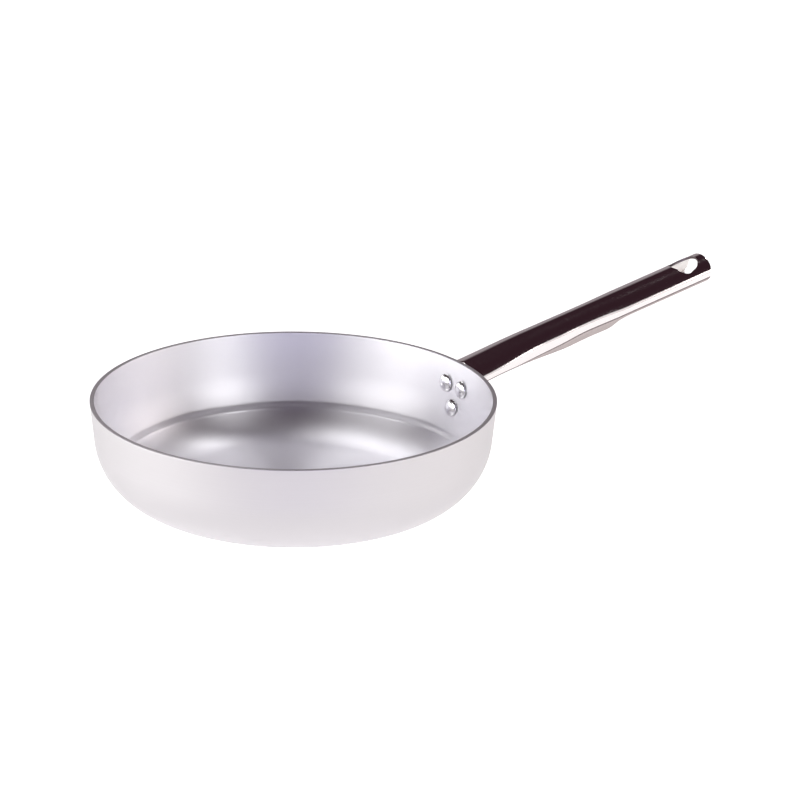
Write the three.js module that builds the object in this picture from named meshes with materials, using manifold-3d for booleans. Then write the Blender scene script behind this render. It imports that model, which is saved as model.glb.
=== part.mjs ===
// A deep saute pan: a spun aluminium body with a long pressed-steel handle held on by three solid rivets.
// Millimetres. The origin is the middle of the base, the handle points along +X and +Z is up.
import * as THREE from 'three';
import { mergeVertices } from 'three/addons/utils/BufferGeometryUtils.js';
import Module from 'manifold-3d';

const { clamp, degToRad, smoothstep } = THREE.MathUtils;

// Pan body
const RIM_RADIUS = 140;
const PAN_HEIGHT = 71;
const WALL = 3;
const WALL_LEAN = degToRad(5.9);
const CORNER_RADIUS = 47.5;
const RIM_CHAMFER = 0.4;

// Gap between pieces that touch, and round a rivet in its hole
const FIT_GAP = 0.3;

// Rivets: depths are measured down from the rim
const RIVET_PAIR_DEPTH = 18;
const RIVET_PAIR_SPACING = 19;
const RIVET_LOW_DEPTH = 34;
const RIVET_SHANK_RADIUS = 3.2;
const RIVET_HEAD_RADIUS = 6.4;
const RIVET_HEAD_HEIGHT = 3;
const RIVET_HEAD_CUP = 0.35;
const RIVET_TAIL_RADIUS = 5;
const RIVET_TAIL_HEIGHT = 2;
const RIVET_TAIL_CHAMFER = 1;

// Handle sheet: distances run along the crown of the handle, from the point above the rim
const SHEET = 1.8;
const HANDLE_RISE = degToRad(11);
const HANDLE_LENGTH = 217.5;
const HANDLE_START = 12;
const TIP_RAKE = degToRad(17);
const CROWN_ABOVE_RIM = 0.5;
const CROWN_RADIUS = 17.3;
const CROWN_TURN = degToRad(35);
const SHOULDER_RADIUS = 8;
const SHOULDER_TURN = degToRad(50);
const ROOT_FLARE = 6.7;
const ROOT_FLARE_END = 75;
const ROOT_DIP = 1.6;
const ROOT_DIP_END = 60;
const WAIST_DIP = 1.2;
const WAIST_AT = 104;
const WAIST_REACH = 32;
const GRIP_SWELL = 1.7;

// Skirt of the handle below the crown, with a lip that stands open at the waist and is folded in at the grip
const SKIRT_AT_ROOT = 3;
const SKIRT_AT_WAIST = 10;
const SKIRT_AT_GRIP = 9;
const SKIRT_WIDENS_FROM = 10;
const SKIRT_WIDENS_TO = 90;
const LIP = 6;
const LIP_AT_ROOT = 0.3;
const LIP_GROWS_FROM = 30;
const LIP_GROWS_TO = 100;
const LIP_BEND_RADIUS = 2.4;
const LIP_OPEN = degToRad(25);
const LIP_CLOSED = degToRad(88);
const LIP_CLOSES_FROM = 117;
const LIP_CLOSES_TO = 142;

// Riveted plate at the root of the handle
const PLATE_TOP_DEPTH = 11;
const PLATE_TOP_ARCH = 4;
const PLATE_ARCH_REACH = 10;
const PLATE_MARGIN = 8.8;
const PLATE_END_CUT = 0.3;
const HOOD_PULL = 14;

// Hanging hole through the crown, wide toward the pan and narrow toward the tip
const HOLE_WIDE_FROM_TIP = 19.8;
const HOLE_WIDE_ASIDE = 5.6;
const HOLE_WIDE_RADIUS = 6.2;
const HOLE_NARROW_FROM_TIP = 9.6;
const HOLE_NARROW_ASIDE = 3.6;
const HOLE_NARROW_RADIUS = 3;
const HOLE_CUT_ABOVE = 6;
const HOLE_CUT_BELOW = 9;

// Fineness of the faceted surfaces
const PAN_SEGMENTS = 96;
const CORNER_STEPS = 10;
const RIVET_SEGMENTS = 20;
const DOME_STEPS = 6;
const SECTION_ARC_STEPS = 4;
const GRIP_STEPS = 4;
const CLOSING_STEPS = 5;
const ROOT_STEPS = 11;
const HOOD_STEPS = 6;
const PLATE_STEPS = 9;
const HOLE_ARC_STEPS = 8;
const MERGE_DISTANCE = 1e-4;

const wasm = await Module();
wasm.setup();

const aluminium = new THREE.MeshStandardMaterial({ color: '#c9c6cb', roughness: 0.38, metalness: 1 });
const polishedSteel = new THREE.MeshStandardMaterial({ color: '#c4bfbd', roughness: 0.08, metalness: 1 });
const rivetMetal = new THREE.MeshStandardMaterial({ color: '#d4d1d3', roughness: 0.2, metalness: 1 });

// Boolean cuts

function toSolid(geometry) {
  const bare = geometry.clone();
  bare.deleteAttribute('normal');
  bare.deleteAttribute('uv');
  const merged = mergeVertices(bare, MERGE_DISTANCE);
  return new wasm.Manifold(new wasm.Mesh({
    numProp: 3,
    vertProperties: new Float32Array(merged.attributes.position.array),
    triVerts: new Uint32Array(merged.index.array),
  }));
}

function toGeometry(solid) {
  const mesh = solid.getMesh();
  const geometry = new THREE.BufferGeometry();
  geometry.setAttribute('position', new THREE.BufferAttribute(new Float32Array(mesh.vertProperties), 3));
  geometry.setIndex(new THREE.BufferAttribute(new Uint32Array(mesh.triVerts), 1));
  geometry.computeVertexNormals();
  return geometry;
}

function cut(geometry, cutters) {
  const solid = cutters.reduce((rest, cutter) => rest.subtract(toSolid(cutter)), toSolid(geometry));
  return toGeometry(solid);
}

// Pan body

const straightWallFoot = CORNER_RADIUS * (1 - Math.sin(WALL_LEAN));
const straightWallRun = (PAN_HEIGHT - straightWallFoot) * Math.tan(WALL_LEAN);
const cornerCentre = new THREE.Vector2(
  RIM_RADIUS - straightWallRun - CORNER_RADIUS * Math.cos(WALL_LEAN),
  CORNER_RADIUS,
);

// A point on the outside of the wall and the wall's outward normal, in the plane of radius and height
function wallAt(depth) {
  const height = PAN_HEIGHT - depth;
  if (height >= straightWallFoot) {
    return {
      point: new THREE.Vector2(RIM_RADIUS - depth * Math.tan(WALL_LEAN), height),
      normal: new THREE.Vector2(Math.cos(WALL_LEAN), -Math.sin(WALL_LEAN)),
    };
  }
  const sine = (height - cornerCentre.y) / CORNER_RADIUS;
  const normal = new THREE.Vector2(Math.sqrt(1 - sine * sine), sine);
  return { point: cornerCentre.clone().addScaledVector(normal, CORNER_RADIUS), normal };
}

// The rounded corner between base and wall, from the base up
function cornerArc(radius) {
  const points = [];
  for (let i = 0; i <= CORNER_STEPS; i++) {
    const angle = -Math.PI / 2 + (i / CORNER_STEPS) * (Math.PI / 2 - WALL_LEAN);
    points.push(new THREE.Vector2(Math.cos(angle), Math.sin(angle)).multiplyScalar(radius).add(cornerCentre));
  }
  return points;
}

function panProfile() {
  const innerRim = RIM_RADIUS - WALL / Math.cos(WALL_LEAN);
  const chamferRun = RIM_CHAMFER * Math.tan(WALL_LEAN);
  return [
    new THREE.Vector2(0, 0),
    ...cornerArc(CORNER_RADIUS),
    new THREE.Vector2(RIM_RADIUS - chamferRun, PAN_HEIGHT - RIM_CHAMFER),
    new THREE.Vector2(RIM_RADIUS - RIM_CHAMFER, PAN_HEIGHT),
    new THREE.Vector2(innerRim + RIM_CHAMFER, PAN_HEIGHT),
    new THREE.Vector2(innerRim - chamferRun, PAN_HEIGHT - RIM_CHAMFER),
    ...cornerArc(CORNER_RADIUS - WALL).reverse(),
    new THREE.Vector2(0, WALL),
  ];
}

// A turned shape, with its axis along +Z
function turned(profile, segments) {
  return new THREE.LatheGeometry(profile, segments).rotateX(Math.PI / 2);
}

// Rivets

const pairAngle = RIVET_PAIR_SPACING / 2 / wallAt(RIVET_PAIR_DEPTH).point.x;
const rivetPlaces = [
  { name: 'rivet_upper_left', depth: RIVET_PAIR_DEPTH, angle: pairAngle },
  { name: 'rivet_upper_right', depth: RIVET_PAIR_DEPTH, angle: -pairAngle },
  { name: 'rivet_lower', depth: RIVET_LOW_DEPTH, angle: 0 },
];
const headSeat = -WALL - FIT_GAP;
const tailSeat = FIT_GAP + SHEET + FIT_GAP;

// Puts an object on the outside of the wall, with its own +Z along the wall's normal
function seatOnWall(object, { depth, angle }) {
  const { point, normal } = wallAt(depth);
  const outward = new THREE.Vector3(Math.cos(angle) * normal.x, Math.sin(angle) * normal.x, normal.y);
  object.position.set(Math.cos(angle) * point.x, Math.sin(angle) * point.x, point.y);
  object.quaternion.setFromUnitVectors(new THREE.Vector3(0, 0, 1), outward);
  return object;
}

// A domed head inside the pan, cupped underneath so that its rim clears the curved wall, a shank through
// wall and plate, and a flatter head formed outside
function rivetProfile() {
  const dome = [];
  for (let i = 0; i <= DOME_STEPS; i++) {
    const angle = (i / DOME_STEPS) * (Math.PI / 2);
    const radius = RIVET_HEAD_RADIUS * Math.sin(angle);
    const height = RIVET_HEAD_CUP + (RIVET_HEAD_HEIGHT - RIVET_HEAD_CUP) * Math.cos(angle);
    dome.push(new THREE.Vector2(radius, headSeat - height));
  }
  return [
    ...dome,
    new THREE.Vector2(RIVET_SHANK_RADIUS, headSeat),
    new THREE.Vector2(RIVET_SHANK_RADIUS, tailSeat),
    new THREE.Vector2(RIVET_TAIL_RADIUS, tailSeat),
    new THREE.Vector2(RIVET_TAIL_RADIUS, tailSeat + RIVET_TAIL_HEIGHT - RIVET_TAIL_CHAMFER),
    new THREE.Vector2(RIVET_TAIL_RADIUS - RIVET_TAIL_CHAMFER, tailSeat + RIVET_TAIL_HEIGHT),
    new THREE.Vector2(0, tailSeat + RIVET_TAIL_HEIGHT),
  ];
}

// A hole for the shank, right through wall and plate
function rivetHoleCutter(place) {
  const radius = RIVET_SHANK_RADIUS + FIT_GAP;
  const reach = RIVET_HEAD_HEIGHT - headSeat + tailSeat + RIVET_TAIL_HEIGHT;
  const shape = new THREE.CylinderGeometry(radius, radius, 2 * reach, RIVET_SEGMENTS).rotateX(Math.PI / 2);
  const cutter = seatOnWall(new THREE.Mesh(shape), place);
  cutter.updateMatrix();
  return shape.applyMatrix4(cutter.matrix);
}

// Handle

// Half of the pressed section at a distance along the handle: how far aside, how far below the line of the
// crown, and how far across the sheet
function sectionAt(distance) {
  const closing = smoothstep(distance, LIP_CLOSES_FROM, LIP_CLOSES_TO);
  const widening = smoothstep(distance, SKIRT_WIDENS_FROM, SKIRT_WIDENS_TO);
  const growing = smoothstep(distance, LIP_GROWS_FROM, LIP_GROWS_TO);
  const fromWaist = clamp((distance - WAIST_AT) / WAIST_REACH, -1, 1);

  const flare = ROOT_FLARE * (1 - smoothstep(distance, 0, ROOT_FLARE_END));
  const waist = WAIST_DIP * Math.cos(fromWaist * Math.PI / 2) ** 2;
  const crownRadius = CROWN_RADIUS + flare + GRIP_SWELL * closing - waist;
  const openSkirt = SKIRT_AT_ROOT + (SKIRT_AT_WAIST - SKIRT_AT_ROOT) * widening;
  const skirt = openSkirt + (SKIRT_AT_GRIP - openSkirt) * closing;
  const lip = LIP_AT_ROOT + (LIP - LIP_AT_ROOT) * growing;
  const fold = LIP_OPEN + (LIP_CLOSED - LIP_OPEN) * closing;
  const bend = LIP_BEND_RADIUS * LIP_CLOSED * (lip / LIP);

  let turn = 0;
  let aside = 0;
  let drop = ROOT_DIP * (1 - smoothstep(distance, 0, ROOT_DIP_END));
  let across = 0;
  const points = [{ aside, drop, across }];
  const run = (length, turning, steps) => {
    for (let i = 0; i < steps; i++) {
      const middle = turn + turning / steps / 2;
      aside += (length / steps) * Math.cos(middle);
      drop += (length / steps) * Math.sin(middle);
      across += length / steps;
      turn += turning / steps;
      points.push({ aside, drop, across });
    }
  };
  run(crownRadius * CROWN_TURN, CROWN_TURN, SECTION_ARC_STEPS);
  run(SHOULDER_RADIUS * SHOULDER_TURN, SHOULDER_TURN, SECTION_ARC_STEPS);
  run(skirt - lip, 0, 1);
  run(bend, fold, SECTION_ARC_STEPS);
  run(lip - bend, 0, 1);
  return points;
}

// The whole width of the section, from the right-hand edge over the crown to the left-hand edge
function bothSides(half) {
  const mirrored = half.slice(1).map(({ aside, drop, across }) => ({ aside: -aside, drop, across: -across }));
  return [...mirrored.reverse(), ...half];
}

function onCrown(distance, aside, drop) {
  const along = new THREE.Vector3(Math.cos(HANDLE_RISE), 0, Math.sin(HANDLE_RISE));
  const up = new THREE.Vector3(-Math.sin(HANDLE_RISE), 0, Math.cos(HANDLE_RISE));
  return new THREE.Vector3(RIM_RADIUS, aside, PAN_HEIGHT + CROWN_ABOVE_RIM)
    .addScaledVector(along, distance)
    .addScaledVector(up, -drop);
}

// Half of the plate's width at a depth below the rim: a rounded triangle round the three rivets
function plateHalfWidth(depth) {
  const pairAside = RIVET_PAIR_SPACING / 2;
  const slope = Math.atan2(pairAside, RIVET_LOW_DEPTH - RIVET_PAIR_DEPTH);
  const tangentDrop = PLATE_MARGIN * Math.sin(slope);
  if (depth <= RIVET_PAIR_DEPTH) {
    return pairAside + PLATE_MARGIN;
  }
  if (depth < RIVET_PAIR_DEPTH + tangentDrop) {
    return pairAside + Math.sqrt(PLATE_MARGIN ** 2 - (depth - RIVET_PAIR_DEPTH) ** 2);
  }
  if (depth < RIVET_LOW_DEPTH + tangentDrop) {
    return (RIVET_LOW_DEPTH - depth) * Math.tan(slope) + PLATE_MARGIN / Math.cos(slope);
  }
  return Math.sqrt(PLATE_MARGIN ** 2 - (depth - RIVET_LOW_DEPTH) ** 2);
}

function onPlate(depth, aside) {
  const { point, normal } = wallAt(depth);
  const radius = point.x + FIT_GAP * normal.x;
  const angle = aside / radius;
  return new THREE.Vector3(radius * Math.cos(angle), radius * Math.sin(angle), point.y + FIT_GAP * normal.y);
}

function hermite(from, leaving, to, arriving, t) {
  const t2 = t * t;
  const t3 = t2 * t;
  return new THREE.Vector3()
    .addScaledVector(from, 2 * t3 - 3 * t2 + 1)
    .addScaledVector(leaving, t3 - 2 * t2 + t)
    .addScaledVector(to, 3 * t2 - 2 * t3)
    .addScaledVector(arriving, t3 - t2);
}

// Distances of the sections behind the tip, closest where the lips fold
function sectionDistances() {
  const stretches = [
    { from: HANDLE_LENGTH, to: LIP_CLOSES_TO, steps: GRIP_STEPS },
    { from: LIP_CLOSES_TO, to: LIP_CLOSES_FROM, steps: CLOSING_STEPS },
    { from: LIP_CLOSES_FROM, to: HANDLE_START, steps: ROOT_STEPS },
  ];
  return stretches.flatMap(({ from, to, steps }) =>
    Array.from({ length: steps }, (_, i) => from + (to - from) * (i + 1) / steps));
}

// Rows of points over the face of the sheet that is uppermost along the handle and against the wall at the
// plate: raked tip, grip, hood and riveted plate
function handleRows() {
  const tip = bothSides(sectionAt(HANDLE_LENGTH));
  const rake = Math.tan(TIP_RAKE);
  const rows = [tip.map(({ aside, drop }) => onCrown(HANDLE_LENGTH - rake * drop, aside, drop))];
  for (const distance of sectionDistances()) {
    rows.push(bothSides(sectionAt(distance)).map(({ aside, drop }) => onCrown(distance, aside, drop)));
  }

  const start = rows[rows.length - 1];
  const root = bothSides(sectionAt(HANDLE_START));
  const sheetEdge = root[root.length - 1].across;
  const shares = root.map(({ across }) => across / sheetEdge);
  const plateRow = (depth) => {
    const arch = PLATE_TOP_ARCH * Math.max(0, 1 - (depth - PLATE_TOP_DEPTH) / PLATE_ARCH_REACH);
    return shares.map((share) => onPlate(depth + arch * share ** 2, share * plateHalfWidth(depth + arch)));
  };
  const plateTop = plateRow(PLATE_TOP_DEPTH);
  const inward = new THREE.Vector3(-Math.cos(HANDLE_RISE), 0, -Math.sin(HANDLE_RISE));
  const down = new THREE.Vector3(-Math.sin(WALL_LEAN), 0, -Math.cos(WALL_LEAN));
  inward.multiplyScalar(HOOD_PULL);
  down.multiplyScalar(HOOD_PULL);
  for (let i = 1; i <= HOOD_STEPS; i++) {
    rows.push(start.map((from, j) => hermite(from, inward, plateTop[j], down, i / HOOD_STEPS)));
  }

  const plateDrop = RIVET_LOW_DEPTH + PLATE_MARGIN - PLATE_END_CUT - PLATE_TOP_DEPTH;
  for (let i = 1; i <= PLATE_STEPS; i++) {
    rows.push(plateRow(PLATE_TOP_DEPTH + plateDrop * i / PLATE_STEPS));
  }
  return rows;
}

// A closed sheet of even thickness behind rows of points on its face
function sheetGeometry(rows, thickness) {
  const across = rows[0].length;
  const at = (i, j) => rows[clamp(i, 0, rows.length - 1)][clamp(j, 0, across - 1)];
  const face = rows.flat();
  const behind = rows.flatMap((row, i) => row.map((point, j) => {
    const along = at(i + 1, j).clone().sub(at(i - 1, j));
    const aside = at(i, j + 1).clone().sub(at(i, j - 1));
    return point.clone().addScaledVector(along.cross(aside).normalize(), thickness);
  }));

  const back = face.length;
  const index = [];
  const quad = (a, b, c, d) => index.push(a, b, c, a, c, d);
  for (let i = 0; i + 1 < rows.length; i++) {
    for (let j = 0; j + 1 < across; j++) {
      const a = i * across + j;
      quad(a, a + 1, a + across + 1, a + across);
      quad(back + a, back + a + across, back + a + across + 1, back + a + 1);
    }
    const right = i * across;
    const left = right + across - 1;
    quad(right, right + across, back + right + across, back + right);
    quad(left, back + left, back + left + across, left + across);
  }
  const end = back - across;
  for (let j = 0; j + 1 < across; j++) {
    quad(j, back + j, back + j + 1, j + 1);
    quad(end + j, end + j + 1, back + end + j + 1, back + end + j);
  }
  const geometry = new THREE.BufferGeometry().setFromPoints([...face, ...behind]);
  geometry.setIndex(index);
  return geometry;
}

// A rounded trapezium through the crown, clear of the turned-in lips
function hangingHoleCutter() {
  const wideAt = HANDLE_LENGTH - HOLE_WIDE_FROM_TIP;
  const narrowAt = HANDLE_LENGTH - HOLE_NARROW_FROM_TIP;
  const length = narrowAt - wideAt;
  const narrowing = HOLE_WIDE_ASIDE - HOLE_NARROW_ASIDE;
  const side = Math.acos((HOLE_WIDE_RADIUS - HOLE_NARROW_RADIUS) / Math.hypot(length, narrowing))
    - Math.atan2(narrowing, length);
  const outline = new THREE.Shape();
  outline.absarc(wideAt, HOLE_WIDE_ASIDE, HOLE_WIDE_RADIUS, Math.PI, side, true);
  outline.absarc(narrowAt, HOLE_NARROW_ASIDE, HOLE_NARROW_RADIUS, side, 0, true);
  outline.absarc(narrowAt, -HOLE_NARROW_ASIDE, HOLE_NARROW_RADIUS, 0, -side, true);
  outline.absarc(wideAt, -HOLE_WIDE_ASIDE, HOLE_WIDE_RADIUS, -side, -Math.PI, true);
  const depth = HOLE_CUT_ABOVE + HOLE_CUT_BELOW;
  return new THREE.ExtrudeGeometry(outline, { depth, bevelEnabled: false, curveSegments: HOLE_ARC_STEPS })
    .translate(0, 0, -HOLE_CUT_BELOW)
    .rotateY(-HANDLE_RISE)
    .translate(RIM_RADIUS, 0, PAN_HEIGHT + CROWN_ABOVE_RIM);
}

// Assembly

function piece(name, geometry, material) {
  const mesh = new THREE.Mesh(geometry, material);
  mesh.name = name;
  return mesh;
}

const rivetHoles = rivetPlaces.map(rivetHoleCutter);
const handleCuts = [...rivetHoles, hangingHoleCutter()];
const pan = new THREE.Group();
pan.add(piece('pan_body', cut(turned(panProfile(), PAN_SEGMENTS), rivetHoles), aluminium));
pan.add(piece('handle', cut(sheetGeometry(handleRows(), SHEET), handleCuts), polishedSteel));
for (const place of rivetPlaces) {
  pan.add(seatOnWall(piece(place.name, turned(rivetProfile(), RIVET_SEGMENTS), rivetMetal), place));
}

export default pan;
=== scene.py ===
import math

import bmesh
import bpy
import numpy as np
from mathutils import Matrix, Vector


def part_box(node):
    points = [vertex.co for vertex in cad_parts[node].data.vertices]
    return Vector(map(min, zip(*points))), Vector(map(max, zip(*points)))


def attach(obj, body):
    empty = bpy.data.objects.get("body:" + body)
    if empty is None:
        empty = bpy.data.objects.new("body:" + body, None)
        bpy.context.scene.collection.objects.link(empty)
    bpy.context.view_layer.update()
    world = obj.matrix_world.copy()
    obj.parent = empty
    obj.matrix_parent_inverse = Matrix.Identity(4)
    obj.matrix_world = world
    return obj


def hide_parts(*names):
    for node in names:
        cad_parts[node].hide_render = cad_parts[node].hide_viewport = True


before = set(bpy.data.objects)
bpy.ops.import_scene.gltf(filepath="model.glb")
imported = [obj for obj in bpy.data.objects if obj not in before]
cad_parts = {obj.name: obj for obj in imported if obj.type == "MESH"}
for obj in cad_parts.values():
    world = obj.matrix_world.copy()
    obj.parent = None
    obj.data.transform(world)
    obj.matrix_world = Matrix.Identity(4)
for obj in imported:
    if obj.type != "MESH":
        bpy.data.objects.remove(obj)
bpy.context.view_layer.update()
scene = bpy.context.scene
scene.view_settings.view_transform = "Standard"

# Pan body. One shell of 3 mm aluminium, spun over a former. Its inside is turned bright in fine rings, its
# outside keeps the satin of the spinning, and its rim is cut square with the edges taken off.
MM = 0.001
RIM_RADIUS = 140 * MM
PAN_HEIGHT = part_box("pan_body")[1].z
WALL = 3 * MM
WALL_LEAN = math.radians(5.9)
CORNER_RADIUS = 47.5 * MM
RIM_ROUND = 0.3 * MM
STEP_TILT = math.radians(48)
STEP_HEIGHT = 1.8 * MM
STEP_ABOVE = 6.2 * MM
STEP_EDGE = 1.0 * MM
STEP_EDGE_DROP = 0.04
PAN_STEPS_ROUND = 240
BASE_STEPS = 6
CORNER_STEPS = 28
WALL_STEPS = 10
RIM_ROUND_STEPS = 5
WALL_FOOT_STEPS = 14
SHELF_STEPS = 8
STEP_EDGE_STEPS = 6
STEP_FADE_STEPS = 16
FLOOR_STEPS = 10
SEAM_DISTANCE = 1e-6


def linear(code):
    """A colour written as sRGB hex, as the linear RGBA that sockets take."""
    channels = [int(code[i:i + 2], 16) / 255 for i in (1, 3, 5)]
    return [c / 12.92 if c <= 0.04045 else ((c + 0.055) / 1.055) ** 2.4 for c in channels] + [1]


def add_node(tree, kind, inputs=None, **settings):
    """Adds a node, sets its properties, and sets or links its inputs by name or number."""
    node = tree.nodes.new(kind)
    for name, value in settings.items():
        setattr(node, name, value)
    for name, value in (inputs or {}).items():
        if isinstance(value, bpy.types.NodeSocket):
            tree.links.new(value, node.inputs[name])
        else:
            node.inputs[name].default_value = value
    return node


def new_material(name):
    """An empty node material with its output, and the output node."""
    material = bpy.data.materials.new(name)
    material.use_nodes = True
    material.node_tree.nodes.clear()
    return material, add_node(material.node_tree, "ShaderNodeOutputMaterial")


# The tool leaves fine rings all round, so light spreads across them, in and out, and hardly along them. That
# gives the eye bright and dark fans on the floor, and upright bands on the wall. The rings are drawn coarser
# than the real ones, so that they show.
def ringed_aluminium(name, colour, roughness, spread, ring_mm, ring_depth_mm, anisotropy):
    material, output = new_material(name)
    tree = material.node_tree
    place = add_node(tree, "ShaderNodeTexCoord").outputs["Object"]
    flat = add_node(tree, "ShaderNodeVectorMath", {0: place, 1: (1, 1, 0)}, operation="MULTIPLY")
    radius = add_node(tree, "ShaderNodeVectorMath", {0: flat.outputs[0]}, operation="LENGTH")
    height = add_node(tree, "ShaderNodeSeparateXYZ", {0: place}).outputs["Z"]
    along = add_node(tree, "ShaderNodeMath", {0: radius.outputs["Value"], 1: height}, operation="ADD")
    rings = add_node(tree, "ShaderNodeTexNoise", {
        "W": along.outputs[0], "Scale": 1 / (ring_mm * MM), "Detail": 3.0, "Roughness": 0.6,
    }, noise_dimensions="1D")
    rough = add_node(tree, "ShaderNodeMapRange", {
        "Value": rings.outputs[0], "From Min": 0.25, "From Max": 0.75,
        "To Min": roughness - spread, "To Max": roughness + spread,
    })
    bump = add_node(tree, "ShaderNodeBump", {
        "Height": rings.outputs[0], "Distance": ring_depth_mm * MM, "Strength": 1.0,
    })
    round_about = add_node(tree, "ShaderNodeVectorMath", {
        0: (0, 0, 1), 1: place,
    }, operation="CROSS_PRODUCT")
    shader = add_node(tree, "ShaderNodeBsdfPrincipled", {
        "Base Color": linear(colour), "Metallic": 1.0, "Roughness": rough.outputs[0],
        "Anisotropic": anisotropy, "Anisotropic Rotation": 0.25,
        "Tangent": round_about.outputs[0], "Normal": bump.outputs[0],
    })
    tree.links.new(shader.outputs[0], output.inputs[0])
    return material


satin_wall = ringed_aluminium(
    "aluminium_satin_turned_wall", "#f1f0f3", roughness=0.56, spread=0.03,
    ring_mm=0.9, ring_depth_mm=0.004, anisotropy=0.6)
turned_floor = ringed_aluminium(
    "aluminium_turned_floor", "#efeef2", roughness=0.43, spread=0.02,
    ring_mm=0.9, ring_depth_mm=0.003, anisotropy=0.7)
satin_outside = ringed_aluminium(
    "aluminium_spun_satin_outside", "#dcd9da", roughness=0.5, spread=0.03,
    ring_mm=1.4, ring_depth_mm=0.004, anisotropy=0.3)
# The rim's grey, darker than the rest of the aluminium, is painted shade: it draws the dark line along the
# rim
rim_cut_painted_dark = ringed_aluminium(
    "aluminium_cut_rim", "#bcb8bc", roughness=0.45, spread=0.02,
    ring_mm=0.6, ring_depth_mm=0.002, anisotropy=0.2)


def arc(centre, radius, start, end, steps):
    """Points on an arc in the plane of radius and height, both ends included."""
    return [(centre[0] + radius * math.cos(a), centre[1] + radius * math.sin(a))
            for a in np.linspace(start, end, steps + 1)]


def ease(value, start, end):
    """0 before start, 1 after end, smooth between."""
    t = min(max((value - start) / (end - start), 0), 1)
    return t * t * (3 - 2 * t)


def straight(start, end, steps):
    """Points between two ends, without the ends."""
    return [tuple(p) for p in np.linspace(start, end, steps + 1)[1:-1]]


lean_sin = math.sin(WALL_LEAN)
lean_cos = math.cos(WALL_LEAN)
wall_foot = CORNER_RADIUS * (1 - lean_sin)
wall_run = (PAN_HEIGHT - wall_foot) * math.tan(WALL_LEAN)
corner_reach = RIM_RADIUS - wall_run - CORNER_RADIUS * lean_cos
outside_corner = arc((corner_reach, CORNER_RADIUS), CORNER_RADIUS, -math.pi / 2, -WALL_LEAN, CORNER_STEPS)

rim_inside = RIM_RADIUS - WALL / lean_cos
round_height = PAN_HEIGHT - RIM_ROUND
outer_centre = (RIM_RADIUS - RIM_ROUND * (1 + lean_sin) / lean_cos, round_height)
inner_centre = (rim_inside + RIM_ROUND * (1 - lean_sin) / lean_cos, round_height)
outer_round = arc(outer_centre, RIM_ROUND, -WALL_LEAN, math.pi / 2, RIM_ROUND_STEPS)
inner_round = arc(inner_centre, RIM_ROUND, math.pi / 2, math.pi - WALL_LEAN, RIM_ROUND_STEPS)

# Where the turned floor meets the wall the two cuts leave a low step: a shelf, its rounded edge, and a long
# fade into the floor
inside_corner = []
inner_radius = CORNER_RADIUS - WALL
crest = STEP_TILT - math.pi / 2
foot_above = crest + STEP_ABOVE / inner_radius
foot_below = crest - STEP_EDGE / inner_radius
for start, end, steps in (
    (-WALL_LEAN, foot_above, WALL_FOOT_STEPS),
    (foot_above, crest, SHELF_STEPS),
    (crest, foot_below, STEP_EDGE_STEPS),
    (foot_below, -math.pi / 2, STEP_FADE_STEPS),
):
    for turn in np.linspace(start, end, steps + 1)[:-1]:
        shelf = 1 - ease(turn, crest, foot_above)
        edge = STEP_EDGE_DROP * (1 - ease(turn, foot_below, crest))
        fade = (1 - STEP_EDGE_DROP) * (1 - ease(turn, -math.pi / 2, foot_below))
        bulge = STEP_HEIGHT * (shelf - edge - fade)
        inside_corner.append((corner_reach + (inner_radius - bulge) * math.cos(turn),
                              CORNER_RADIUS + (inner_radius - bulge) * math.sin(turn)))
inside_corner.append((corner_reach, WALL))

pan_profile = [(0, 0), *straight((0, 0), outside_corner[0], BASE_STEPS), *outside_corner]
pan_profile += straight(outside_corner[-1], outer_round[0], WALL_STEPS)
outside_rings = len(pan_profile)
pan_profile += [*outer_round, *inner_round]
rim_rings = len(pan_profile)
pan_profile += straight(inner_round[-1], inside_corner[0], WALL_STEPS)
wall_rings = len(pan_profile) + WALL_FOOT_STEPS
pan_profile += [*inside_corner, *straight(inside_corner[-1], (0, WALL), FLOOR_STEPS), (0, WALL)]


# The rule of a turned piece: each point of a half section becomes a ring, and each of up to four finishes
# runs on from the ring where it starts
turning = bpy.data.node_groups.new("turned_from_half_section", "GeometryNodeTree")
for label, kind in (
    ("Half Section", "NodeSocketGeometry"), ("Steps Round", "NodeSocketInt"),
    ("First Finish", "NodeSocketMaterial"),
    ("Second Finish", "NodeSocketMaterial"), ("Second Starts", "NodeSocketInt"),
    ("Third Finish", "NodeSocketMaterial"), ("Third Starts", "NodeSocketInt"),
    ("Fourth Finish", "NodeSocketMaterial"), ("Fourth Starts", "NodeSocketInt"),
):
    turning.interface.new_socket(label, in_out="INPUT", socket_type=kind)
turning.interface.new_socket("Turned", in_out="OUTPUT", socket_type="NodeSocketGeometry")
given = add_node(turning, "NodeGroupInput").outputs
ring_count = add_node(turning, "GeometryNodeAttributeDomainSize", {
    0: given["Half Section"],
}).outputs["Point Count"]
ring_points = add_node(turning, "FunctionNodeIntegerMath", {
    0: given["Steps Round"], 1: 1,
}, operation="ADD").outputs[0]
index = add_node(turning, "GeometryNodeInputIndex").outputs[0]
ring = add_node(turning, "FunctionNodeIntegerMath", {
    0: index, 1: ring_points,
}, operation="DIVIDE_FLOOR").outputs[0]
step = add_node(turning, "FunctionNodeIntegerMath", {
    0: index, 1: ring_points,
}, operation="MODULO").outputs[0]
step_angle = add_node(turning, "ShaderNodeMath", {
    0: math.tau, 1: given["Steps Round"],
}, operation="DIVIDE").outputs[0]
angle = add_node(turning, "ShaderNodeMath", {0: step, 1: step_angle}, operation="MULTIPLY").outputs[0]
position = add_node(turning, "GeometryNodeInputPosition").outputs[0]
section_point = add_node(turning, "GeometryNodeSampleIndex", {
    0: given["Half Section"], "Value": position, "Index": ring,
}, data_type="FLOAT_VECTOR").outputs[0]
turned_point = add_node(turning, "ShaderNodeVectorRotate", {
    "Vector": section_point, "Angle": angle,
}, rotation_type="Z_AXIS").outputs[0]
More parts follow.
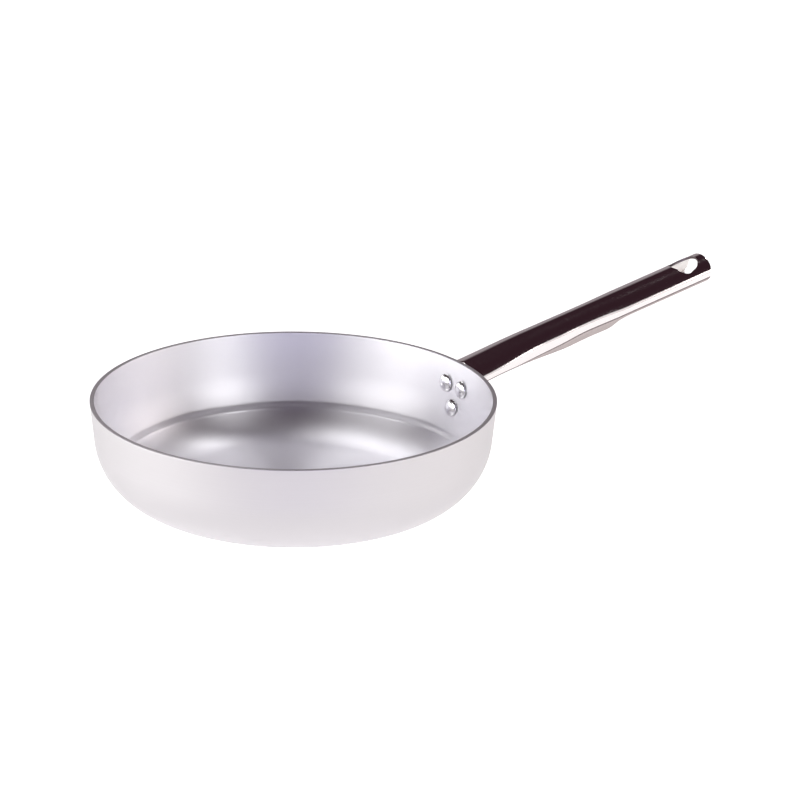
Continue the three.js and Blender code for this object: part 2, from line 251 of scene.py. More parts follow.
grid = add_node(turning, "GeometryNodeMeshGrid", {
    "Vertices X": ring_count, "Vertices Y": ring_points,
}).outputs[0]
kept_ring = add_node(turning, "GeometryNodeCaptureAttribute")
kept_ring.capture_items.new("FLOAT", "Ring")
turning.links.new(grid, kept_ring.inputs[0])
turning.links.new(ring, kept_ring.inputs["Ring"])
placed = add_node(turning, "GeometryNodeSetPosition", {
    0: kept_ring.outputs[0], "Position": turned_point,
}).outputs[0]
closed = add_node(turning, "GeometryNodeMergeByDistance", {0: placed, "Distance": SEAM_DISTANCE}).outputs[0]
smooth = add_node(turning, "GeometryNodeSetShadeSmooth", {0: closed}).outputs[0]
shape = add_node(turning, "GeometryNodeRealizeInstances", {0: smooth}).outputs[0]
shape = add_node(turning, "GeometryNodeSetMaterial", {
    0: shape, "Material": given["First Finish"],
}).outputs[0]
for order in ("Second", "Third", "Fourth"):
    past = add_node(turning, "FunctionNodeCompare", {
        0: kept_ring.outputs["Ring"], 1: given[order + " Starts"],
    }, data_type="FLOAT", operation="GREATER_THAN").outputs[0]
    shape = add_node(turning, "GeometryNodeSetMaterial", {
        0: shape, "Selection": past, "Material": given[order + " Finish"],
    }).outputs[0]
add_node(turning, "NodeGroupOutput", {0: shape})


def plain_mesh(made, name):
    """The finished mesh of an object with its modifiers worked in, as a new object with none."""
    finished = made.evaluated_get(bpy.context.evaluated_depsgraph_get())
    mesh = bpy.data.meshes.new_from_object(finished)
    bpy.data.objects.remove(made)
    mesh.name = name
    piece = bpy.data.objects.new(name, mesh)
    scene.collection.objects.link(piece)
    return piece


def set_inputs(modifier, **values):
    """Sets a node modifier's inputs by their sockets' identifiers, found from their labels."""
    for item in modifier.node_group.interface.items_tree:
        key = item.name.lower().replace(" ", "_")
        if item.in_out == "INPUT" and key in values:
            modifier[item.identifier] = values[key]


def turned(name, half_section, steps, first, **later_finishes):
    """A turned piece about +Z from its half section, as a plain mesh object."""
    mesh = bpy.data.meshes.new(name + "_half_section")
    mesh.from_pydata([(r, 0, z) for r, z in half_section], [], [])
    made = bpy.data.objects.new(name + "_turning", mesh)
    scene.collection.objects.link(made)
    modifier = made.modifiers.new("turning", "NODES")
    modifier.node_group = turning
    unused = {order + "_starts": len(half_section) for order in ("second", "third", "fourth")}
    set_inputs(modifier, steps_round=steps, first_finish=first, **(unused | later_finishes))
    return plain_mesh(made, name)


shell = turned(
    "shell", pan_profile, PAN_STEPS_ROUND, satin_outside,
    second_finish=rim_cut_painted_dark, second_starts=outside_rings,
    third_finish=satin_wall, third_starts=rim_rings - 1,
    fourth_finish=turned_floor, fourth_starts=wall_rings)

# Three holes are drilled square through the wall and the handle's plate: a pair side by side, and one below
FIT_GAP = 0.3 * MM
SHEET = 1.8 * MM
RIVET_PAIR_DEPTH = 18 * MM
RIVET_PAIR_SPACING = 19 * MM
RIVET_LOW_DEPTH = 34 * MM
RIVET_SHANK_RADIUS = 3.2 * MM
DRILL_LENGTH = 16 * MM
DRILL_STEPS_ROUND = 40
SHARP_TURN = math.radians(40)


def wall_at(depth):
    """Radius, height and outward normal of the wall's outside at a depth below the rim."""
    height = PAN_HEIGHT - depth
    if height >= wall_foot:
        return RIM_RADIUS - depth * math.tan(WALL_LEAN), height, lean_cos, -lean_sin
    sine = (height - CORNER_RADIUS) / CORNER_RADIUS
    cosine = math.sqrt(1 - sine * sine)
    return corner_reach + CORNER_RADIUS * cosine, height, cosine, sine


pair_angle = RIVET_PAIR_SPACING / 2 / wall_at(RIVET_PAIR_DEPTH)[0]
rivet_points = []
rivet_normals = []
for depth, turn in (
    (RIVET_PAIR_DEPTH, pair_angle), (RIVET_PAIR_DEPTH, -pair_angle), (RIVET_LOW_DEPTH, 0),
):
    radius, height, outward, upward = wall_at(depth)
    rivet_points.append(Vector((radius * math.cos(turn), radius * math.sin(turn), height)))
    rivet_normals.append(Vector((outward * math.cos(turn), outward * math.sin(turn), upward)))


def turned_to(direction):
    """The rotation that turns +Z to a direction, as a 4 x 4 matrix."""
    return direction.to_track_quat("Z", "Y").to_matrix().to_4x4()


def drilled(piece, name, finish):
    """The piece with its rivet holes cut, as a new object."""
    drills = bmesh.new()
    hole_radius = RIVET_SHANK_RADIUS + FIT_GAP
    for point, normal in zip(rivet_points, rivet_normals):
        bmesh.ops.create_cone(
            drills, cap_ends=True, segments=DRILL_STEPS_ROUND, radius1=hole_radius, radius2=hole_radius,
            depth=DRILL_LENGTH, matrix=Matrix.Translation(point) @ turned_to(normal))
    mesh = bpy.data.meshes.new("drills")
    drills.to_mesh(mesh)
    drills.free()
    mesh.materials.append(finish)
    cutter = bpy.data.objects.new("drills", mesh)
    scene.collection.objects.link(cutter)
    cut = piece.modifiers.new("drilling", "BOOLEAN")
    cut.operation = "DIFFERENCE"
    cut.solver = "EXACT"
    cut.object = cutter
    cut_piece = plain_mesh(piece, name)
    bpy.data.objects.remove(cutter)
    cut_piece.data.set_sharp_from_angle(angle=SHARP_TURN)
    return cut_piece


pan = drilled(shell, "pan", rim_cut_painted_dark)
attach(pan, "root")
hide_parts("pan_body")

# Rivets. Three solid aluminium rivets hold the handle: a pair side by side and one below. Each has a
# polished dome inside the pan, a shank through wall and plate, and a second head hammered flat outside.
RIVET_HEAD_RADIUS = 6.4 * MM
RIVET_HEAD_HEIGHT = 3 * MM
RIVET_HEAD_CUP = 0.35 * MM
RIVET_TAIL_RADIUS = 5 * MM
RIVET_TAIL_HEIGHT = 2 * MM
RIVET_TAIL_ROUND = 1 * MM
RIVET_STEPS_ROUND = 48
RIVET_DOME_STEPS = 14
RIVET_TAIL_STEPS = 6
RIVET_SHARP_TURN = math.radians(35)
head_seat = -WALL - FIT_GAP
tail_seat = SHEET + 2 * FIT_GAP
tail_end = tail_seat + RIVET_TAIL_HEIGHT
dome_foot = head_seat - RIVET_HEAD_CUP
dome_height = RIVET_HEAD_HEIGHT - RIVET_HEAD_CUP
rivet_profile = [(RIVET_HEAD_RADIUS * math.sin(a), dome_foot - dome_height * math.cos(a))
                 for a in np.linspace(0, math.pi / 2, RIVET_DOME_STEPS + 1)]
rivet_profile += [
    (RIVET_SHANK_RADIUS, head_seat),
    (RIVET_SHANK_RADIUS, tail_seat),
    (RIVET_TAIL_RADIUS - FIT_GAP, tail_seat),
    *arc((RIVET_TAIL_RADIUS - RIVET_TAIL_ROUND, tail_end - RIVET_TAIL_ROUND),
         RIVET_TAIL_ROUND, 0, math.pi / 2, RIVET_TAIL_STEPS),
    (0, tail_end),
]

# Polished aluminium: a soft mirror, with faint marks of the set that closed the rivet
MARK_SPACING = 3 * MM
MARK_DEPTH = 0.001 * MM
polished_rivet, output = new_material("aluminium_polished_rivet")
tree = polished_rivet.node_tree
place = add_node(tree, "ShaderNodeTexCoord").outputs["Object"]
marks = add_node(tree, "ShaderNodeTexNoise", {"Vector": place, "Scale": 1 / MARK_SPACING, "Detail": 2.0})
rough = add_node(tree, "ShaderNodeMapRange", {"Value": marks.outputs[0], "To Min": 0.22, "To Max": 0.3})
bump = add_node(tree, "ShaderNodeBump", {"Height": marks.outputs[0], "Distance": MARK_DEPTH})
shader = add_node(tree, "ShaderNodeBsdfPrincipled", {
    "Base Color": linear("#ecebec"), "Metallic": 1.0,
    "Roughness": rough.outputs[0], "Normal": bump.outputs[0],
})
tree.links.new(shader.outputs[0], output.inputs[0])

one_rivet = turned("one_rivet", rivet_profile, RIVET_STEPS_ROUND, polished_rivet)
riveting = bpy.data.node_groups.new("rivets_on_wall", "GeometryNodeTree")
for label, kind in (
    ("Places", "NodeSocketGeometry"), ("Rivet", "NodeSocketObject"), ("Finish", "NodeSocketMaterial"),
):
    riveting.interface.new_socket(label, in_out="INPUT", socket_type=kind)
riveting.interface.new_socket("Rivets", in_out="OUTPUT", socket_type="NodeSocketGeometry")
given = add_node(riveting, "NodeGroupInput").outputs
outward = add_node(riveting, "GeometryNodeInputNamedAttribute", {
    "Name": "outward",
}, data_type="FLOAT_VECTOR")
upright = add_node(riveting, "FunctionNodeAlignRotationToVector", {"Vector": outward.outputs[0]}, axis="Z")
rivet = add_node(riveting, "GeometryNodeObjectInfo", {"Object": given["Rivet"]})
set_in = add_node(riveting, "GeometryNodeInstanceOnPoints", {
    "Points": given["Places"], "Instance": rivet.outputs["Geometry"], "Rotation": upright.outputs[0],
})
shape = add_node(riveting, "GeometryNodeRealizeInstances", {0: set_in.outputs[0]}).outputs[0]
shape = add_node(riveting, "GeometryNodeSetMaterial", {0: shape, "Material": given["Finish"]}).outputs[0]
add_node(riveting, "NodeGroupOutput", {0: shape})

places = bpy.data.meshes.new("rivet_places")
places.from_pydata(rivet_points, [], [])
facing = places.attributes.new("outward", "FLOAT_VECTOR", "POINT")
facing.data.foreach_set("vector", np.ravel(rivet_normals))
riveted = bpy.data.objects.new("riveted", places)
scene.collection.objects.link(riveted)
modifier = riveted.modifiers.new("riveting", "NODES")
modifier.node_group = riveting
set_inputs(modifier, rivet=one_rivet, finish=polished_rivet)
rivets = plain_mesh(riveted, "rivets")
bpy.data.objects.remove(one_rivet)
rivets.data.set_sharp_from_angle(angle=RIVET_SHARP_TURN)
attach(rivets, "root")
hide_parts("rivet_upper_left", "rivet_upper_right", "rivet_lower")

# Handle. One blank of 1.8 mm stainless sheet, pressed to an arch, with its lips folded in under the grip and
# opening out toward the pan. At the wall it turns down into a plate for the rivets, and its top is buffed
# to a mirror. Its sizes are in mm until the mesh is made.
HANDLE_RISE = math.radians(11)
HANDLE_LENGTH = 217.5
HANDLE_START = 1.2
TIP_RAKE = math.radians(19)
TIP_RAKE_REACH = 19
TIP_CORNER_RADIUS = 4.5
CROWN_ABOVE_RIM = 0.5
CROWN_RADIUS = 17.3
CROWN_TURN = math.radians(35)
SHOULDER_RADIUS = 8
SHOULDER_TURN = math.radians(50)
ROOT_FLARE = 6.7
ROOT_FLARE_END = 75
ROOT_DIP = 1.6
ROOT_DIP_END = 60
WAIST_DIP = 1.2
WAIST_AT = 104
WAIST_REACH = 32
GRIP_SWELL = 1.7
SKIRT_AT_ROOT = 3
SKIRT_AT_WAIST = 10
SKIRT_AT_GRIP = 9
SKIRT_WIDENS = (10, 90)
LIP = 6
LIP_AT_ROOT = 0.3
LIP_GROWS = (30, 100)
LIP_BEND_RADIUS = 2.4
LIP_OPEN = math.radians(25)
LIP_CLOSED = math.radians(88)
LIP_CLOSES = (117, 142)
EDGE_LINE = 0.45
GRIP_ROW = 1.5
CROWN_STEPS = 14
SHOULDER_STEPS = 14
SKIRT_STEPS = 4
BEND_STEPS = 10
LIP_STEPS = 3


def half_section(distance):
    """The section at a distance along the handle, in mm: aside, below the crown, and across the sheet."""
    closing = ease(distance, *LIP_CLOSES)
    from_waist = min(max((distance - WAIST_AT) / WAIST_REACH, -1), 1)
    flare = ROOT_FLARE * (1 - ease(distance, 0, ROOT_FLARE_END))
    waist = WAIST_DIP * math.cos(from_waist * math.pi / 2) ** 2
    crown = (CROWN_RADIUS + flare + GRIP_SWELL * closing - waist) * CROWN_TURN
    open_skirt = SKIRT_AT_ROOT + (SKIRT_AT_WAIST - SKIRT_AT_ROOT) * ease(distance, *SKIRT_WIDENS)
    skirt = open_skirt + (SKIRT_AT_GRIP - open_skirt) * closing
    lip = LIP_AT_ROOT + (LIP - LIP_AT_ROOT) * ease(distance, *LIP_GROWS)
    fold = LIP_OPEN + (LIP_CLOSED - LIP_OPEN) * closing
    bend = LIP_BEND_RADIUS * LIP_CLOSED * lip / LIP
    runs = (
        (crown, CROWN_TURN, CROWN_STEPS),
        (SHOULDER_RADIUS * SHOULDER_TURN, SHOULDER_TURN, SHOULDER_STEPS),
        (skirt - lip - EDGE_LINE, 0, SKIRT_STEPS - 1),
        (EDGE_LINE, 0, 1),
        (bend, fold, BEND_STEPS),
        (lip - bend, 0, LIP_STEPS),
    )
    lengths = np.concatenate([np.full(n, length / n) for length, _, n in runs])
    turns = np.concatenate([np.full(n, turn / n) for _, turn, n in runs])
    heading = np.cumsum(turns) - turns / 2
    dip = ROOT_DIP * (1 - ease(distance, 0, ROOT_DIP_END))
    aside = np.concatenate([[0], np.cumsum(lengths * np.cos(heading))])
    drop = dip + np.concatenate([[0], np.cumsum(lengths * np.sin(heading))])
    return aside, drop, np.concatenate([[0], np.cumsum(lengths)])


def whole_section(distance):
    """The section from the right-hand edge over the crown to the left-hand edge."""
    aside, drop, across = half_section(distance)
    return (np.concatenate([-aside[:0:-1], aside]), np.concatenate([drop[:0:-1], drop]),
            np.concatenate([-across[:0:-1], across]))


tip_depth = max(half_section(HANDLE_LENGTH)[1])


def on_crown(distance, aside, drop):
    """Places points of the section on the rising handle, with the tip raked and its low corners round."""
    near_tip = np.clip(1 - (HANDLE_LENGTH - distance) / TIP_RAKE_REACH, 0, 1)
    low = np.clip(drop - tip_depth + TIP_CORNER_RADIUS, 0, TIP_CORNER_RADIUS)
    corner = TIP_CORNER_RADIUS - np.sqrt(TIP_CORNER_RADIUS ** 2 - low ** 2)
    along = distance - near_tip * (math.tan(TIP_RAKE) * drop + corner)
    x = RIM_RADIUS / MM + along * math.cos(HANDLE_RISE) + drop * math.sin(HANDLE_RISE)
    crown_height = PAN_HEIGHT / MM + CROWN_ABOVE_RIM + along * math.sin(HANDLE_RISE)
    z = crown_height - drop * math.cos(HANDLE_RISE)
    return np.stack(np.broadcast_arrays(x, aside, z), axis=-1)


# The grip, from the tip to the pan, with one row close to the tip's cut to keep its rounding narrow
grip_steps = round((HANDLE_LENGTH - HANDLE_START) / GRIP_ROW)
grip_rows = np.linspace(HANDLE_LENGTH, HANDLE_START, grip_steps + 1)
grip_rows = np.insert(grip_rows, 1, HANDLE_LENGTH - EDGE_LINE)
rows = []
for distance in grip_rows:
    aside, drop, across = whole_section(distance)
    rows.append(on_crown(distance, aside, drop))

# The hood: each line of the sheet leaves the arch along the handle and arrives at the plate along the wall
PLATE_TOP_DEPTH = 11
PLATE_TOP_ARCH = 4
PLATE_ARCH_REACH = 10
PLATE_MARGIN = 8.8
PLATE_END_CUT = 0.3
HOOD_PULL = 4.5
HOOD_STEPS = 18
PLATE_STEPS = 30
shares = across / across[-1]


def plate_half_width(depth):
    """Half of the plate's width at a depth below the rim, in mm: a rounded triangle round the rivets."""
    aside, high, low = (v / MM for v in (RIVET_PAIR_SPACING / 2, RIVET_PAIR_DEPTH, RIVET_LOW_DEPTH))
    slope = math.atan2(aside, low - high)
    tangent = PLATE_MARGIN * math.sin(slope)
    if depth <= high:
        return aside + PLATE_MARGIN
    if depth < high + tangent:
        return aside + math.sqrt(PLATE_MARGIN ** 2 - (depth - high) ** 2)
    if depth < low + tangent:
        return (low - depth) * math.tan(slope) + PLATE_MARGIN / math.cos(slope)
    return math.sqrt(PLATE_MARGIN ** 2 - (depth - low) ** 2)


def plate_row(depth):
    """A line across the plate, lying on the wall, in mm."""
    arch = PLATE_TOP_ARCH * max(0, 1 - (depth - PLATE_TOP_DEPTH) / PLATE_ARCH_REACH)
    half = plate_half_width(depth + arch)
    points = []
    for share in shares:
        radius, height, outward, upward = wall_at((depth + arch * share ** 2) * MM)
        radius += FIT_GAP * outward
        turn = share * half * MM / radius
        points.append((radius * math.cos(turn), radius * math.sin(turn), height + FIT_GAP * upward))
    return np.array(points) / MM


plate_top = plate_row(PLATE_TOP_DEPTH)
hood_start = rows[-1]
leaving = -HOOD_PULL * np.array([math.cos(HANDLE_RISE), 0, math.sin(HANDLE_RISE)])
arriving = -HOOD_PULL * np.array([lean_sin, 0, lean_cos])
for t in np.linspace(0, 1, HOOD_STEPS + 1)[1:]:
    rows.append((2 * t**3 - 3 * t**2 + 1) * hood_start + (t**3 - 2 * t**2 + t) * leaving
                + (3 * t**2 - 2 * t**3) * plate_top + (t**3 - t**2) * arriving)
plate_end = RIVET_LOW_DEPTH / MM + PLATE_MARGIN - PLATE_END_CUT
for depth in np.linspace(PLATE_TOP_DEPTH, plate_end, PLATE_STEPS + 1)[1:]:
    rows.append(plate_row(depth))

# The hanging hole: a rounded trapezium, wide toward the pan, with the sheet round it meshed in rings
HOLE_WIDE_FROM_TIP = 19.8
HOLE_WIDE_ASIDE = 5.6
HOLE_WIDE_RADIUS = 6.2
HOLE_WIDE_STEPS = 32
HOLE_NARROW_FROM_TIP = 9.6
HOLE_NARROW_ASIDE = 3.6
HOLE_NARROW_RADIUS = 3.0
HOLE_NARROW_STEPS = 16
HOLE_MARGIN = 3
HOLE_RINGS = np.array([0, 0.05, 0.12, 0.22, 0.36, 0.54, 0.76])
grip_aside, grip_drop, grip_across = whole_section(HANDLE_LENGTH)
wide_at = HANDLE_LENGTH - HOLE_WIDE_FROM_TIP
narrow_at = HANDLE_LENGTH - HOLE_NARROW_FROM_TIP
narrowing = HOLE_WIDE_ASIDE - HOLE_NARROW_ASIDE
side = (math.acos((HOLE_WIDE_RADIUS - HOLE_NARROW_RADIUS) / math.hypot(narrow_at - wide_at, narrowing))
        - math.atan2(narrowing, narrow_at - wide_at))
near_half = arc((narrow_at, HOLE_NARROW_ASIDE), HOLE_NARROW_RADIUS, 0, side, HOLE_NARROW_STEPS)
near_half += arc((wide_at, HOLE_WIDE_ASIDE), HOLE_WIDE_RADIUS, side, math.pi, HOLE_WIDE_STEPS)
outline = np.array(near_half + [(s, -a) for s, a in reversed(near_half)])
hole_middle = (wide_at + narrow_at) / 2
folded = BEND_STEPS + LIP_STEPS + 1
outline_across = np.interp(outline[:, 1], grip_aside[folded:-folded], grip_across[folded:-folded])
outline_angle = np.arctan2(outline_across, outline[:, 0] - hole_middle)
outline_reach = np.hypot(outline_across, outline[:, 0] - hole_middle)

vertices = np.concatenate(rows)
columns = len(shares)
first_row = int(np.argmin(abs(grip_rows - (narrow_at + HOLE_NARROW_RADIUS + HOLE_MARGIN))))
last_row = int(np.argmin(abs(grip_rows - (wide_at - HOLE_WIDE_RADIUS - HOLE_MARGIN))))
hole_half = np.max(outline_across) + HOLE_MARGIN
first_column = int(np.argmin(abs(grip_across + hole_half)))
last_column = int(np.argmin(abs(grip_across - hole_half)))
window = [(first_row, c) for c in range(first_column, last_column)]
window += [(r, last_column) for r in range(first_row, last_row)]
window += [(last_row, c) for c in range(last_column, first_column, -1)]
window += [(r, first_column) for r in range(last_row, first_row, -1)]

window_place = np.array([(grip_rows[r], grip_across[c]) for r, c in window])
window_angle = np.arctan2(window_place[:, 1], window_place[:, 0] - hole_middle)
by_angle = np.array(sorted(zip(outline_angle, outline_reach))).T
reach = np.interp(window_angle, *by_angle, period=math.tau)
hole_place = np.stack([hole_middle + reach * np.cos(window_angle), reach * np.sin(window_angle)], axis=1)
loops = []
extra = []
for share in HOLE_RINGS:
    ring_place = hole_place * (1 - share) + window_place * share
    ring_points = on_crown(ring_place[:, 0], np.interp(ring_place[:, 1], grip_across, grip_aside),
                           np.interp(ring_place[:, 1], grip_across, grip_drop))
    start = len(vertices) + sum(len(points) for points in extra)
    loops.append(list(range(start, start + len(window))))
    extra.append(ring_points)
loops.append([r * columns + c for r, c in window])
vertices = np.concatenate([vertices, *extra]) * MM

# The sheet's faces, by finish: buffed over the top, a band of painted shade along the fold, mill finish
# darkened with painted shade on the lips
BUFFED = 0
MILL_AND_SHADE = 1
FOLD_PAINTED_SHADE = 2
faces = []
finish_of = []
bend_start = CROWN_STEPS + SHOULDER_STEPS + SKIRT_STEPS
middle = columns // 2
for r in range(len(rows) - 1):
    for c in range(columns - 1):
        if first_row <= r < last_row and first_column <= c < last_column:
            continue
        a = r * columns + c
        faces.append((a, a + 1, a + columns + 1, a + columns))
        past_bend = abs(c + 0.5 - middle) - bend_start
        finish_of.append(BUFFED if past_bend < -1 else FOLD_PAINTED_SHADE if past_bend < 1 else MILL_AND_SHADE)
for inner, outer in zip(loops, loops[1:]):
    for k in range(len(window)):
        after = (k + 1) % len(window)
        faces.append((inner[k], outer[k], outer[after], inner[after]))
        finish_of.append(BUFFED)


# Stainless steel in the states that a pressed handle shows: a clear mirror where it is buffed, satin as the
# mill left it and greyed with painted shade, a dark grey of painted shade along the fold and the cut edges,
# and pale and matt inside.
# Each has a grain drawn out along the handle, coarser than the real one so that it shows: a faint unevenness
# in the mirror, or dull streaks.
def pressed_steel(name, colour, smoothest, roughest, grain_mm, drawn, depth_mm):
    material, output = new_material(name)
    tree = material.node_tree
    place = add_node(tree, "ShaderNodeTexCoord").outputs["Object"]
    drawn_place = add_node(tree, "ShaderNodeMapping", {
        "Vector": place, "Rotation": (0, HANDLE_RISE, 0), "Scale": (1 / drawn, 1, 1),
    })
    grain = add_node(tree, "ShaderNodeTexNoise", {
        "Vector": drawn_place.outputs[0], "Scale": 1 / (grain_mm * MM), "Detail": 3.0, "Roughness": 0.6,
    })
    rough = add_node(tree, "ShaderNodeMapRange", {
        "Value": grain.outputs[0], "From Min": 0.35, "From Max": 0.7,
        "To Min": smoothest, "To Max": roughest,
    })
    bump = add_node(tree, "ShaderNodeBump", {"Height": grain.outputs[0], "Distance": depth_mm * MM})
    shader = add_node(tree, "ShaderNodeBsdfPrincipled", {
        "Base Color": linear(colour), "Metallic": 1.0,
        "Roughness": rough.outputs[0], "Normal": bump.outputs[0],
    })
    tree.links.new(shader.outputs[0], output.inputs[0])
    return material


buffed_steel = pressed_steel(
    "stainless_steel_buffed", "#f6f1f0", smoothest=0.05, roughest=0.12, grain_mm=1.2, drawn=1.3,
    depth_mm=0.02)
# The lips' pinkish grey, darker than the buffed steel, is partly the mill finish and partly painted shade
mill_steel_and_shade = pressed_steel(
    "stainless_steel_mill_finish", "#c2b8b6", smoothest=0.45, roughest=0.6, grain_mm=0.8, drawn=12,
    depth_mm=0.01)
# The edge steel's dark grey is painted shade: it draws the thin dark line along the lips' fold and round the
# sheet's cut edges
edge_steel_painted_shade = pressed_steel(
    "stainless_steel_unbuffed_edge", "#786e6f", smoothest=0.35, roughest=0.5, grain_mm=0.8, drawn=12,
    depth_mm=0.01)
rolled_steel = pressed_steel(
    "stainless_steel_bright_rolled", "#f3f0ee", smoothest=0.6, roughest=0.7, grain_mm=0.8, drawn=12,
    depth_mm=0.004)

# A cut edge counts its finish on from its face's own by two slots, and the inside of the sheet by five
EDGE_SLOT = 2
INSIDE_SLOT = 5
BROKEN_EDGE = 0.35 * MM
BROKEN_EDGE_STEPS = 3
BROKEN_EDGE_TURN = math.radians(50)
mesh = bpy.data.meshes.new("handle_sheet")
mesh.from_pydata(vertices.tolist(), [], faces)
# The three edge slots hold the edge steel, whose dark grey is painted shade
for finish in (buffed_steel, mill_steel_and_shade, edge_steel_painted_shade, edge_steel_painted_shade, edge_steel_painted_shade, *[rolled_steel] * 3):
    mesh.materials.append(finish)
mesh.polygons.foreach_set("material_index", finish_of)
mesh.polygons.foreach_set("use_smooth", [True] * len(faces))
sheet = bpy.data.objects.new("handle_sheet", mesh)
scene.collection.objects.link(sheet)
thicken = sheet.modifiers.new("thickness", "SOLIDIFY")
thicken.thickness = SHEET
thicken.offset = -1
thicken.use_even_offset = True
thicken.material_offset = INSIDE_SLOT
thicken.material_offset_rim = EDGE_SLOT
edges = sheet.modifiers.new("broken_edges", "BEVEL")
edges.width = BROKEN_EDGE
edges.segments = BROKEN_EDGE_STEPS
edges.material = EDGE_SLOT
edges.limit_method = "ANGLE"
edges.angle_limit = BROKEN_EDGE_TURN
handle = drilled(plain_mesh(sheet, "whole_handle"), "pan_handle", rolled_steel)
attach(handle, "root")
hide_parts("handle")

# Stage. A white table that fades into a white backdrop, a dark studio above it, and soft boxes to the sides.
# Bearings are as the camera sees the pan: 0 is to the right, 90 behind, -90 in front.
FLOOR_SIZE = 8.0
FLOOR_DROP = 0.2 * MM
FLOOR_TO_CAMERA = 0.85
FLOOR_IN_METAL = 0.63
FLOOR_GREYS_FROM = 0.08
FLOOR_GREYS_TO = 0.6
VIEW_TURN = math.radians(33)


def stage_plane(name, width, depth, centre):
    """A level rectangle of the stage."""
    mesh = bpy.data.meshes.new(name)
    x = width / 2
    y = depth / 2
    mesh.from_pydata([(-x, -y, 0), (x, -y, 0), (x, y, 0), (-x, y, 0)], [], [(0, 1, 2, 3)])
    plane = bpy.data.objects.new(name, mesh)
    plane.matrix_world = Matrix.Translation(centre)
    scene.collection.objects.link(plane)
    return plane


floor = stage_plane("floor", FLOOR_SIZE, FLOOR_SIZE, (0, 0, -FLOOR_DROP))
# Plain white to the camera; metal sees it white behind and at the sides, and greyer toward the camera
floor_white, output = new_material("floor_white")
tree = floor_white.node_tree
to_back = Matrix.Rotation(-VIEW_TURN, 3, "Z") @ Vector((0, 1, 0))
place = add_node(tree, "ShaderNodeTexCoord").outputs["Object"]
in_front = add_node(tree, "ShaderNodeVectorMath", {0: place, 1: -to_back}, operation="DOT_PRODUCT")
fading = add_node(tree, "ShaderNodeMapRange", {
    "Value": in_front.outputs["Value"], "From Min": FLOOR_GREYS_FROM, "From Max": FLOOR_GREYS_TO,
}, interpolation_type="SMOOTHSTEP")
path = add_node(tree, "ShaderNodeLightPath").outputs
grey = add_node(tree, "ShaderNodeMath", {
    0: fading.outputs[0], 1: path["Is Glossy Ray"],
}, operation="MULTIPLY")
shade = add_node(tree, "ShaderNodeMix", {
    "Factor": grey.outputs[0], 6: (1, 1, 1, 1), 7: linear("#8a8286"),
}, data_type="RGBA")
bounced = add_node(tree, "ShaderNodeMath", {
    0: path["Is Glossy Ray"], 1: path["Is Transmission Ray"],
}, operation="MAXIMUM")
in_metal = add_node(tree, "ShaderNodeMath", {
    0: bounced.outputs[0], 1: FLOOR_IN_METAL,
}, operation="MULTIPLY")
seen = add_node(tree, "ShaderNodeMath", {
    0: path["Is Camera Ray"], 1: FLOOR_TO_CAMERA, 2: in_metal.outputs[0],
}, operation="MULTIPLY_ADD")
paper = add_node(tree, "ShaderNodeBsdfDiffuse", {"Color": linear("#d2d2d2")})
glow = add_node(tree, "ShaderNodeEmission", {"Strength": seen.outputs[0], "Color": shade.outputs[2]})
both = add_node(tree, "ShaderNodeAddShader", {0: paper.outputs[0], 1: glow.outputs[0]})
tree.links.new(both.outputs[0], output.inputs[0])
floor.data.materials.append(floor_white)

# World: pale low down, greyer behind, bluer in front, and dark above. The camera sees it plain white.
BACK_FROM = 0.3
BACK_TO = 0.7
FRONT_FROM = -0.55
FRONT_TO = -0.9
DARK_FROM = 0.08
DARK_TO = 0.3
DARK_LIFT_BEHIND = 0.28
studio = bpy.data.worlds.new("studio")
scene.world = studio
studio.use_nodes = True
tree = studio.node_tree
tree.nodes.clear()
direction = add_node(tree, "ShaderNodeTexCoord").outputs["Generated"]
behind = add_node(tree, "ShaderNodeVectorMath", {0: direction, 1: to_back}, operation="DOT_PRODUCT")
backward = add_node(tree, "ShaderNodeMapRange", {
    "Value": behind.outputs["Value"], "From Min": BACK_FROM, "From Max": BACK_TO,
}, interpolation_type="SMOOTHSTEP")
forward = add_node(tree, "ShaderNodeMapRange", {
    "Value": behind.outputs["Value"], "From Min": FRONT_FROM, "From Max": FRONT_TO,
}, interpolation_type="SMOOTHSTEP")
side_shade = add_node(tree, "ShaderNodeMix", {
    "Factor": forward.outputs[0], 6: linear("#f4f2f3"), 7: linear("#8f8ca6"),
}, data_type="RGBA")
low_shade = add_node(tree, "ShaderNodeMix", {
    "Factor": backward.outputs[0], 6: side_shade.outputs[2], 7: linear("#9a9296"),
}, data_type="RGBA")
high_shade = add_node(tree, "ShaderNodeMix", {
    "Factor": forward.outputs[0], 6: linear("#311f26"), 7: linear("#4c4465"),
}, data_type="RGBA")
height = add_node(tree, "ShaderNodeSeparateXYZ", {0: direction}).outputs["Z"]
lowered = add_node(tree, "ShaderNodeMath", {
    0: backward.outputs[0], 1: -DARK_LIFT_BEHIND, 2: height,
}, operation="MULTIPLY_ADD")
rise = add_node(tree, "ShaderNodeMapRange", {
    "Value": lowered.outputs[0], "From Min": DARK_FROM, "From Max": DARK_TO,
}, interpolation_type="SMOOTHSTEP")
shade = add_node(tree, "ShaderNodeMix", {
    "Factor": rise.outputs[0], 6: low_shade.outputs[2], 7: high_shade.outputs[2],
}, data_type="RGBA")
path = add_node(tree, "ShaderNodeLightPath").outputs
shown = add_node(tree, "ShaderNodeMix", {
    "Factor": path["Is Camera Ray"], 6: shade.outputs[2], 7: (1, 1, 1, 1),
}, data_type="RGBA")
background = add_node(tree, "ShaderNodeBackground", {"Color": shown.outputs[2], "Strength": 1.0})
add_node(tree, "ShaderNodeOutputWorld", {0: background.outputs[0]})

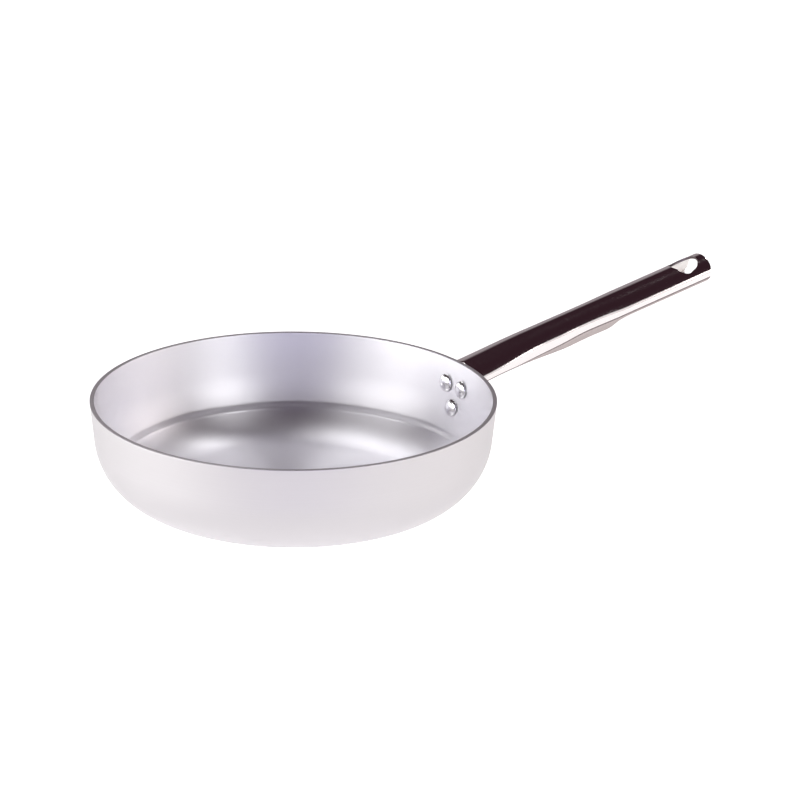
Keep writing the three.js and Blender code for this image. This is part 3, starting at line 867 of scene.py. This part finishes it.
# Soft boxes, by bearing and climb in degrees, with the angles that they span, their distance in metres and
# their brightness. They leave dark what the handle's top mirrors, so the one at the back right is small and
# far off.
AIM = Vector((0, 0, 0.04))
for name, bearing, climb, wide, tall, distance, radiance, colour in (
    ("soft_box_front_left", -146, 24, 54, 17, 2.2, 5.0, "#ffffff"),
    ("soft_box_front_right", -47, 23, 24, 17, 2.2, 9.4, "#ffffff"),
    ("soft_box_right", 12, 21, 38, 14, 2.2, 4.2, "#fff8f5"),
    ("soft_box_low_right", -10, 10, 18, 12, 2.2, 2.6, "#fff8f5"),
    ("soft_box_left", 180, 9, 76, 14, 2.2, 3.6, "#ffffff"),
    ("soft_box_back_left", 112, 56, 19, 26, 2.2, 6.1, "#ffffff"),
    ("soft_box_back_right", 64, 54, 8, 8, 12.0, 17.5, "#ffffff"),
    ("soft_box_front", -90, 8, 50, 12, 2.2, 3.6, "#c9c6e6"),
):
    turn = math.radians(bearing) - VIEW_TURN
    climb = math.radians(climb)
    away = Vector((math.cos(turn) * math.cos(climb), math.sin(turn) * math.cos(climb), math.sin(climb)))
    width = 2 * distance * math.tan(math.radians(wide / 2)) * math.cos(climb)
    height = 2 * distance * math.tan(math.radians(tall / 2))
    light = bpy.data.lights.new(name, "AREA")
    light.shape = "RECTANGLE"
    light.size = width
    light.size_y = height
    light.energy = radiance * math.pi * width * height
    light.color = linear(colour)[:3]
    lamp = bpy.data.objects.new(name, light)
    lamp.matrix_world = Matrix.Translation(AIM + away * distance) @ turned_to(away)
    scene.collection.objects.link(lamp)

# Camera: a long lens about 3 m away, looking down at 20 degrees with the handle away to the right
FRAME_PIXELS = 800
FOCAL_PIXELS = 4217.55
SENSOR = 36.0
CAMERA_AIM = Vector((61.37, -39.86, 69.54)) * MM
CAMERA_BEARING = math.radians(-34.54)
CAMERA_CLIMB = math.radians(19.99)
CAMERA_DISTANCE = 2.9015
CAMERA_ROLL = math.radians(0.64)
CAMERA_REACH = 50
lens = bpy.data.cameras.new("camera")
lens.sensor_width = SENSOR
lens.lens = FOCAL_PIXELS / FRAME_PIXELS * SENSOR
lens.clip_end = CAMERA_REACH
camera = bpy.data.objects.new("camera", lens)
back = Vector((math.sin(CAMERA_BEARING) * math.cos(CAMERA_CLIMB),
               -math.cos(CAMERA_BEARING) * math.cos(CAMERA_CLIMB), math.sin(CAMERA_CLIMB)))
turn = (-back).to_track_quat("-Z", "Y").to_matrix().to_4x4() @ Matrix.Rotation(CAMERA_ROLL, 4, "Z")
camera.matrix_world = Matrix.Translation(CAMERA_AIM + back * CAMERA_DISTANCE) @ turn
scene.collection.objects.link(camera)
scene.camera = camera
